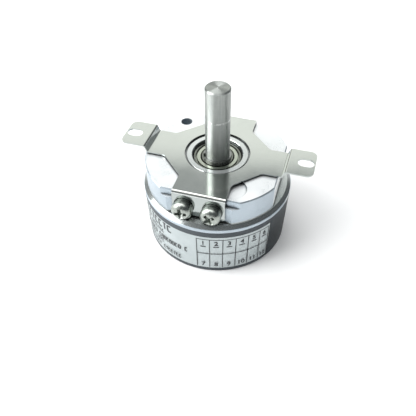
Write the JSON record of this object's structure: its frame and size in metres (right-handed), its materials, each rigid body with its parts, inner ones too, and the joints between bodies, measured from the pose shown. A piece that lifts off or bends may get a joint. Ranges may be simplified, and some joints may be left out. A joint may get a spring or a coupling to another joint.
{
  "type": "rotary encoder",
  "caption": "Cylindrical optical shaft encoder with a solid shaft, a flat spring tether with slotted ears, a dark rear cover and a side connector.",
  "frame": {"origin": "centre of the cover's flat rear face, on the shaft's axis", "axes": "+Z along the shaft towards its free end, +X along the tether's right arm, +Y towards the connector"},
  "size_m": [0.0508, 0.04, 0.0446],
  "materials": {
    "housing": "machined, satin with fine turning marks",
    "tether": "cold-rolled stainless sheet, satin",
    "screws": "bright nickel plate",
    "shaft": "ground round, slightly satin",
    "dark_steel": "dark spring steel",
    "bearing_steel": "ground bearing steel",
    "shield_steel": "pressed sheet, satin",
    "cage_steel": "pressed strip",
    "hub": "turned",
    "disc_glass": "clear, polished",
    "chrome_track": "etched chrome film",
    "black_plastic": "moulded, fine grain",
    "led_resin": "clear resin",
    "leads": "tinned wire",
    "lens": "polished",
    "chip": "moulded epoxy",
    "board": "solder-masked laminate",
    "capacitor": "moulded tantalum",
    "standoff": "nickel-plated brass",
    "connector": "moulded nylon, natural",
    "gold": "gold flash",
    "cover": "satin dark blue-grey coat",
    "label": "silver foil with dark print"
  },
  "bodies": {
    "housing": {"flange_housing": "housing", "spring_tether": "tether", "tether_screws": "screws", "tether_spring_washers": "screws", "front_bearing_outer_ring": "bearing_steel", "front_bearing_shields": "shield_steel", "rear_bearing_outer_ring": "bearing_steel", "rear_bearing_shields": "shield_steel", "preload_wave_washer": "dark_steel", "led_holder": "black_plastic", "led": "led_resin", "led_leads": "leads", "condenser_lens": "lens", "sensor_chip": "chip", "reticle": "disc_glass", "circuit_board": "board", "line_driver_chip": "chip", "voltage_regulator": "chip", "capacitors": "capacitor", "resistors": "chip", "board_standoffs": "standoff", "cover_standoffs": "standoff", "cover_screws": "screws", "connector_shell": "connector", "connector_pins": "gold", "cover": "cover", "label": "label"},
    "rotor": {"shaft": "shaft", "retaining_ring": "dark_steel", "front_bearing_inner_ring": "bearing_steel", "rear_bearing_inner_ring": "bearing_steel", "inner_spacer": "shaft", "disc_hub": "hub", "code_disc": "disc_glass", "code_track": "chrome_track"},
    "front_cage": {"front_bearing_balls": "bearing_steel", "front_bearing_cage": "cage_steel"},
    "rear_cage": {"rear_bearing_balls": "bearing_steel", "rear_bearing_cage": "cage_steel"}
  },
  "joints": [
    {"name": "shaft_spin", "type": "hinge", "parent": "housing", "child": "rotor", "pos_m": [0, 0, 0.0241], "axis": [0, 0, 1], "continuous": true},
    {"name": "front_cage_spin", "type": "hinge", "parent": "housing", "child": "front_cage", "pos_m": [0, 0, 0.0216], "axis": [0, 0, 1], "continuous": true},
    {"name": "rear_cage_spin", "type": "hinge", "parent": "housing", "child": "rear_cage", "pos_m": [0, 0, 0.0135], "axis": [0, 0, 1], "continuous": true}
  ],
  "couplings": [
    {"joint": "front_cage_spin", "follows": "shaft_spin", "ratio": 0.4006},
    {"joint": "rear_cage_spin", "follows": "shaft_spin", "ratio": 0.4006}
  ]
}
